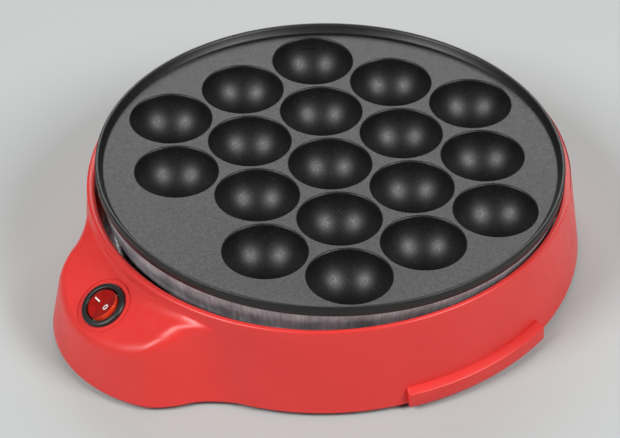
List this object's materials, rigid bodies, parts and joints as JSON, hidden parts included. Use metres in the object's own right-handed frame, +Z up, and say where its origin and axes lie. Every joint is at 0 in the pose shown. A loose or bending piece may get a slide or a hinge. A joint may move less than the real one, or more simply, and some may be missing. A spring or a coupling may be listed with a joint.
{
  "type": "takoyaki maker",
  "caption": "Round electric countertop cooker with a lift-off cast plate of hemispherical batter cavities, a moulded base and a rocker switch on a sloping control box.",
  "frame": {"origin": "centre of the bounding box's bottom face, on the surface the rubber feet stand on", "axes": "+Z up, +Y from the switch towards the cord gland at the back, +X to the right seen from the switch"},
  "size_m": [0.2486, 0.2736, 0.0646],
  "materials": {
    "red_plastic": "high gloss",
    "black_plastic": "fine matt",
    "foot_rubber": "matt",
    "screw_steel": "zinc plated",
    "pan_aluminium": "rolled sheet",
    "plate_coating": "dark grey non-stick coating with fine sparkle, the rim's outer taper machined bare",
    "post_ceramic": "unglazed ceramic",
    "heater_steel": "oxidised sheath",
    "seal_ceramic": "unglazed ceramic",
    "terminal_brass": "plain",
    "sheet_steel": "plain",
    "sensor_steel": "turned",
    "spring_steel": "drawn wire",
    "switch_black": "fine satin",
    "rocker_red": "clear tinted, glossy",
    "mark_white": "printed",
    "lamp_glass": "clear",
    "gland_rubber": "matt",
    "lead_brown": "sleeve",
    "lead_blue": "sleeve",
    "lead_black": "sleeve",
    "lead_green": "sleeve"
  },
  "bodies": {
    "base": {"housing": "red_plastic", "bottom_cover": "black_plastic", "rubber_feet": "foot_rubber", "cover_screws": "screw_steel", "reflector_pan": "pan_aluminium", "pan_screws": "screw_steel", "plate_posts": "post_ceramic", "post_screws": "screw_steel", "heater_element": "heater_steel", "heater_end_seals": "seal_ceramic", "heater_terminals": "terminal_brass", "heater_clips": "sheet_steel", "sensor_guide": "seal_ceramic", "sensor_spring": "spring_steel", "thermostat_body": "black_plastic", "thermostat_terminals": "terminal_brass", "thermal_fuse": "seal_ceramic", "fuse_clip": "sheet_steel", "switch_body": "switch_black", "pivot_pin": "sheet_steel", "switch_terminals": "terminal_brass", "neon_lamp": "lamp_glass", "terminal_block": "seal_ceramic", "terminal_screws": "terminal_brass", "earth_tab": "terminal_brass", "earth_screw": "screw_steel", "cord_gland": "gland_rubber", "cord_clamp": "black_plastic", "clamp_screws": "screw_steel", "lead_live": "lead_brown", "lead_neutral": "lead_blue", "lead_switched": "lead_black", "lead_fused": "lead_black", "lead_heater": "lead_black", "lead_earth": "lead_green"},
    "plate": {"cooking_plate": "plate_coating"},
    "rocker": {"switch_rocker": "rocker_red", "rocker_marks": "mark_white"},
    "sensor": {"sensor_plunger": "sensor_steel"}
  },
  "joints": [
    {"name": "switch_rock", "type": "hinge", "parent": "base", "child": "rocker", "pos_m": [0, -0.11613, 0.03229], "axis": [0, 0.8829, 0.4695], "range_deg": [0, 20]},
    {"name": "plate_lift", "type": "slide", "parent": "base", "child": "plate", "axis": [0, 0, 1], "range_m": [0, 0.06]},
    {"name": "sensor_press", "type": "slide", "parent": "base", "child": "sensor", "axis": [0, 0, 1], "range_m": [-0.003, 0], "stiffness_N_per_m": 150, "deforming": ["sensor_spring"]}
  ]
}
